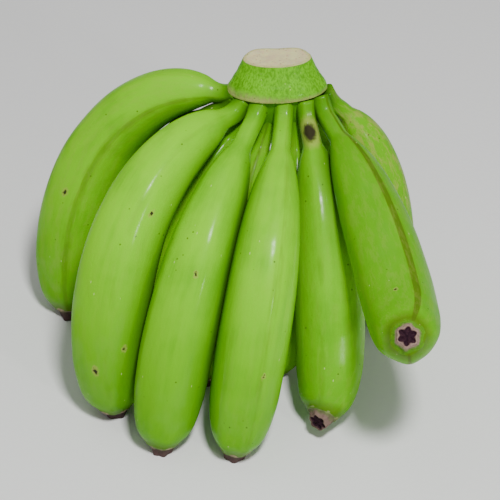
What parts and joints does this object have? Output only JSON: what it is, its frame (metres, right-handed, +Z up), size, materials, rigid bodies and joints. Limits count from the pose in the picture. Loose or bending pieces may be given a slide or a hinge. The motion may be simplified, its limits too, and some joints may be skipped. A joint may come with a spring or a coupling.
{
  "type": "hand of green bananas",
  "caption": "Hand of unripe green bananas joined at a cut crown, two rows of curved fingers, standing on their blossom ends.",
  "frame": {"origin": "on the surface that the fingertips stand on, under the centre of the hand's bounding box", "axes": "+Z up through the crown, +X across the width of the hand, and the front row of fingers faces -Y"},
  "size_m": [0.1992, 0.183, 0.1486],
  "materials": {
    "green_peel": "waxy, glossy, faintly streaked green peel",
    "cut_crown": "moist ivory cut face with fibre specks",
    "blossom_end": "dry dark brown to purple-black"
  },
  "bodies": {
    "root": {"banana_hand": "green_peel"}
  },
  "joints": []
}
